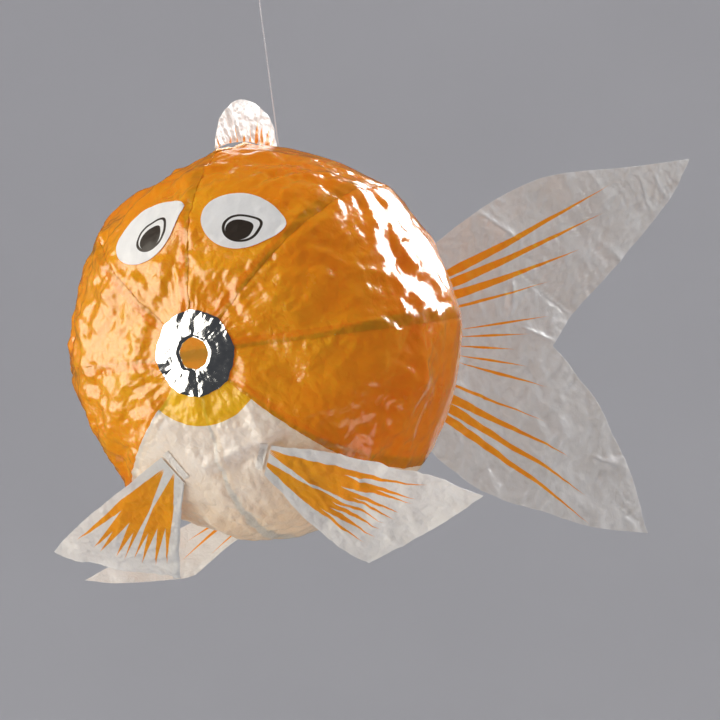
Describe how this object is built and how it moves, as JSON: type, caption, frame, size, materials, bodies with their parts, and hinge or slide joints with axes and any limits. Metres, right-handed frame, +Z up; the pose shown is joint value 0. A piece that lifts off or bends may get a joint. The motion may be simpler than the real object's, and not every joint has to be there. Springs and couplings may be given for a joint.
{
  "type": "paper balloon goldfish",
  "caption": "Hanging paper balloon shaped as a goldfish, with a foil blow-hole mouth, paper eyes and folding paper fins on a thread.",
  "frame": {"origin": "inside top of the loop at the thread's upper end, where a hook holds the object", "axes": "+Z up along the thread, the fish's mouth faces -Y, its tail points to +Y, its left side is +X"},
  "size_m": [0.2304, 0.3068, 0.2814],
  "materials": {
    "orange_glassine": "glossy, thin, crinkled, a little translucent",
    "white_glassine": "semi-gloss, thin, creased, translucent",
    "clear_glassine": "semi-gloss, very thin, creased, translucent",
    "silver_foil": "mirror-bright crumpled foil on paper",
    "clear_thread": "clear monofilament"
  },
  "bodies": {
    "hanger": {"hanging_loop": "clear_thread"},
    "upper_knot": {"loop_knot": "clear_thread"},
    "thread": {"hanging_thread": "clear_thread"},
    "balloon": {"gore_back_left": "orange_glassine", "gore_back_right": "orange_glassine", "gore_flank_left": "orange_glassine", "gore_flank_right": "orange_glassine", "gore_side_left": "orange_glassine", "gore_side_right": "orange_glassine", "gore_belly_left": "white_glassine", "gore_belly_right": "white_glassine", "mouth_foil_ring": "silver_foil", "stern_patch": "orange_glassine", "eye_patch_left": "white_glassine", "eye_patch_right": "white_glassine", "dorsal_glue_strip": "white_glassine", "ventral_glue_strip": "white_glassine", "pectoral_glue_strip_left": "white_glassine", "pectoral_glue_strip_right": "white_glassine", "tail_glue_strip": "clear_glassine", "thread_knot": "clear_thread"},
    "tail": {"tail_fin": "clear_glassine"},
    "dorsal": {"dorsal_fin": "white_glassine"},
    "pectoral_left": {"pectoral_fin_left": "white_glassine"},
    "pectoral_right": {"pectoral_fin_right": "white_glassine"},
    "ventral": {"ventral_fin": "white_glassine"}
  },
  "joints": [
    {"name": "swing_fore_aft", "type": "hinge", "parent": "hanger", "child": "upper_knot", "pos_m": [0, 0, -0.008], "axis": [1, 0, 0], "range_deg": [-50, 50], "stiffness_Nm_per_rad": 0.006},
    {"name": "swing_sideways", "type": "hinge", "parent": "upper_knot", "child": "thread", "pos_m": [0, 0, -0.008], "axis": [0, 1, 0], "range_deg": [-50, 50], "stiffness_Nm_per_rad": 0.006},
    {"name": "balloon_spin", "type": "hinge", "parent": "thread", "child": "balloon", "pos_m": [0, 0, -0.0815], "axis": [0, 0, 1], "continuous": true},
    {"name": "tail_swing", "type": "hinge", "parent": "balloon", "child": "tail", "pos_m": [0, 0.0521, -0.16], "axis": [0, 0, 1], "range_deg": [-38, 112], "stiffness_Nm_per_rad": 0.02},
    {"name": "dorsal_tilt", "type": "hinge", "parent": "balloon", "child": "dorsal", "pos_m": [0, -0.033, -0.0733], "axis": [0, 1, 0], "range_deg": [-70, 70], "stiffness_Nm_per_rad": 0.02},
    {"name": "pectoral_flap_left", "type": "hinge", "parent": "balloon", "child": "pectoral_left", "pos_m": [0.02191, -0.09815, -0.20701], "axis": [-0.4879, 0.2948, -0.8216], "range_deg": [-2, 50], "stiffness_Nm_per_rad": 0.02},
    {"name": "pectoral_flap_right", "type": "hinge", "parent": "balloon", "child": "pectoral_right", "pos_m": [-0.02191, -0.09815, -0.20701], "axis": [-0.4879, -0.2948, 0.8216], "range_deg": [-2, 50], "stiffness_Nm_per_rad": 0.02},
    {"name": "ventral_swing", "type": "hinge", "parent": "balloon", "child": "ventral", "pos_m": [0, 0.01753, -0.22528], "axis": [0, -0.7628, -0.6467], "range_deg": [-2, 120], "stiffness_Nm_per_rad": 0.02}
  ]
}
